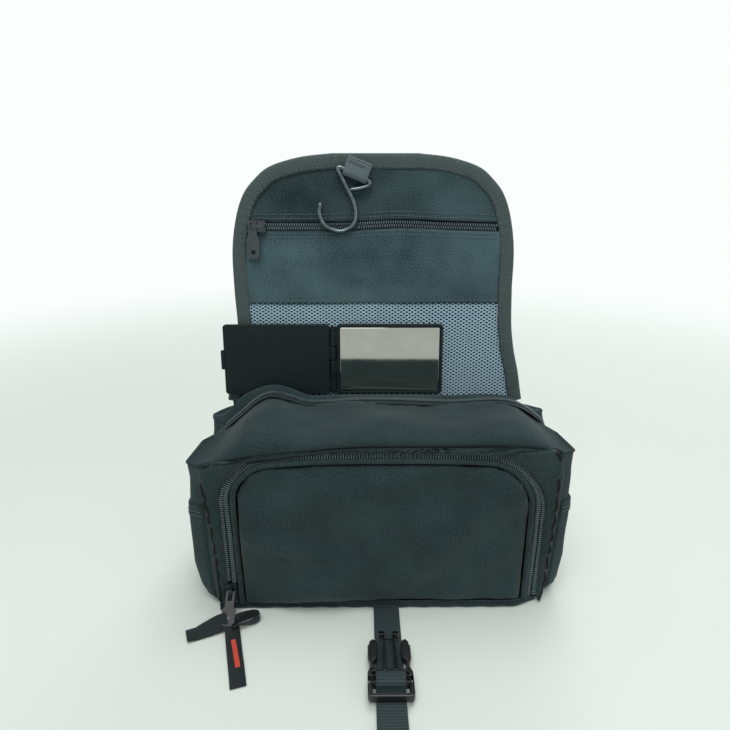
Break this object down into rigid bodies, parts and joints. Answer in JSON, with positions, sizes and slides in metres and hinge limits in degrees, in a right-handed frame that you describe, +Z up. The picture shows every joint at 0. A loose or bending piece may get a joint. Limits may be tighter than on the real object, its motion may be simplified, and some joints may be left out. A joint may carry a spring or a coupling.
{
  "type": "hanging toiletry bag",
  "caption": "Standing fabric toiletry bag with zipped main compartment, padded front pocket door, fold-over flap with net pocket, hook, folding mirror and buckled strap.",
  "frame": {"origin": "centre of the base's underside, on the surface it stands on", "axes": "+Z up, the padded front door faces -Y, +X to the right as seen from the front"},
  "size_m": [0.2383, 0.2046, 0.2703],
  "materials": {
    "nylon": "fine plain weave, slightly padded",
    "binding": "ribbed woven tape with double stitching",
    "zip_tape": "herringbone woven tape",
    "zip_coil": "moulded spiral teeth",
    "net": "knitted diamond mesh",
    "webbing": "ribbed webbing",
    "ribbon": "flat ribbon",
    "black_metal": "satin black",
    "buckle_plastic": "moulded, satin",
    "mirror_shell": "fine matt grain",
    "silvered_glass": "polished"
  },
  "bodies": {
    "bag": {"base_panel": "nylon", "back_panel": "nylon", "pocket_divider": "nylon", "left_side_panel": "nylon", "right_side_panel": "nylon", "left_slip_pocket": "nylon", "right_slip_pocket": "nylon", "left_pocket_binding": "binding", "right_pocket_binding": "binding", "front_frame": "nylon", "front_outer_tape": "zip_tape", "front_outer_coil": "zip_coil", "top_rear_panel": "nylon", "main_rear_coil": "zip_coil", "flap_seam_ridge": "nylon"},
    "pocket_door": {"front_door": "nylon", "door_piping": "binding", "front_inner_tape": "zip_tape", "front_inner_coil": "zip_coil"},
    "mouth": {"top_front_panel": "nylon", "main_front_coil": "zip_coil"},
    "front_slider": {"front_slider": "black_metal"},
    "front_pull": {"front_pull_tab": "black_metal", "pull_ribbon_front": "ribbon", "pull_ribbon_side": "ribbon", "pull_ribbon_loop": "ribbon"},
    "main_slider": {"main_slider": "black_metal"},
    "main_pull": {"main_pull_tab": "black_metal"},
    "flap_lower": {"flap_lower_backing": "nylon", "flap_lower_binding_right": "binding", "flap_lower_binding_left": "binding", "net_pocket": "net"},
    "flap_upper": {"flap_upper_backing": "nylon", "flap_binding": "binding", "flap_pocket_lower": "nylon", "flap_pocket_upper": "nylon", "flap_zip_coil": "zip_coil", "hook_webbing": "webbing"},
    "flap_slider": {"flap_slider": "black_metal"},
    "flap_pull": {"flap_pull_tab": "black_metal"},
    "hook": {"hook": "black_metal"},
    "socket": {"socket_strap": "webbing", "buckle_socket": "buckle_plastic"},
    "strap": {"front_strap": "webbing", "buckle_plug": "buckle_plastic"},
    "prong_left": {"buckle_prong_left": "buckle_plastic"},
    "prong_right": {"buckle_prong_right": "buckle_plastic"},
    "mirror": {"mirror_frame": "mirror_shell", "mirror_glass": "silvered_glass", "mirror_hinge_pin": "black_metal"},
    "mirror_cover": {"mirror_cover": "mirror_shell"}
  },
  "joints": [
    {"name": "flap_hinge", "type": "hinge", "parent": "bag", "child": "flap_lower", "pos_m": [0, 0.038, 0.1168], "axis": [1, 0, 0], "range_deg": [-90, 62]},
    {"name": "flap_fold", "type": "hinge", "parent": "flap_lower", "child": "flap_upper", "pos_m": [0, 0.04292, 0.17771], "axis": [-1, 0, 0], "range_deg": [-100, 0]},
    {"name": "mirror_lift", "type": "slide", "parent": "flap_lower", "child": "mirror", "axis": [0, 0.1392, 0.9903], "range_m": [0, 0.04]},
    {"name": "mirror_hinge", "type": "hinge", "parent": "mirror", "child": "mirror_cover", "pos_m": [-0.0323, 0.03051, 0.11886], "axis": [0, 0.1392, 0.9903], "range_deg": [0, 175]},
    {"name": "front_door_hinge", "type": "hinge", "parent": "bag", "child": "pocket_door", "pos_m": [0, -0.0344, 0.0048], "axis": [-1, 0, 0], "range_deg": [-65, 0]},
    {"name": "mouth_hinge", "type": "hinge", "parent": "bag", "child": "mouth", "pos_m": [0, -0.035, 0.1095], "axis": [-1, 0, 0], "range_deg": [-110, 0]},
    {"name": "front_zip_slide", "type": "slide", "parent": "bag", "child": "front_slider", "axis": [0, 0, 1], "range_m": [0, 0.045]},
    {"name": "front_pull_swing", "type": "hinge", "parent": "front_slider", "child": "front_pull", "pos_m": [-0.0945, -0.0389, 0.016], "axis": [-1, 0, 0], "range_deg": [0, 90]},
    {"name": "main_zip_slide", "type": "slide", "parent": "bag", "child": "main_slider", "axis": [0.0815, 0, 0.9967], "range_m": [0, 0.01]},
    {"name": "main_pull_swing", "type": "hinge", "parent": "main_slider", "child": "main_pull", "pos_m": [0.117, 0.0165, 0.0875], "axis": [0, -1, 0], "range_deg": [0, 100]},
    {"name": "flap_zip_slide", "type": "slide", "parent": "flap_upper", "child": "flap_slider", "axis": [1, 0, 0], "range_m": [0, 0.031]},
    {"name": "flap_pull_swing", "type": "hinge", "parent": "flap_slider", "child": "flap_pull", "pos_m": [-0.08221, 0.04714, 0.2271], "axis": [0, -0.9903, 0.1392], "range_deg": [-45, 50]},
    {"name": "hook_swing", "type": "hinge", "parent": "flap_upper", "child": "hook", "pos_m": [-0.0182, 0.05113, 0.25835], "axis": [-0.9085, 0.0582, 0.4139], "range_deg": [0, 52]},
    {"name": "socket_swing", "type": "hinge", "parent": "flap_upper", "child": "socket", "pos_m": [-0.0045, 0.06117, 0.263], "axis": [1, 0, 0], "range_deg": [-3, 110]},
    {"name": "strap_swing", "type": "hinge", "parent": "bag", "child": "strap", "pos_m": [0.0016, -0.03545, 0.0017], "axis": [-1, 0, 0], "range_deg": [0, 62]},
    {"name": "prong_left_flex", "type": "hinge", "parent": "strap", "child": "prong_left", "pos_m": [-0.0095, -0.0865, 0.00625], "axis": [0, 0, 1], "range_deg": [-7, 0], "stiffness_Nm_per_rad": 0.02},
    {"name": "prong_right_flex", "type": "hinge", "parent": "strap", "child": "prong_right", "pos_m": [0.0127, -0.0865, 0.00625], "axis": [0, 0, -1], "range_deg": [-7, 0], "stiffness_Nm_per_rad": 0.02}
  ]
}
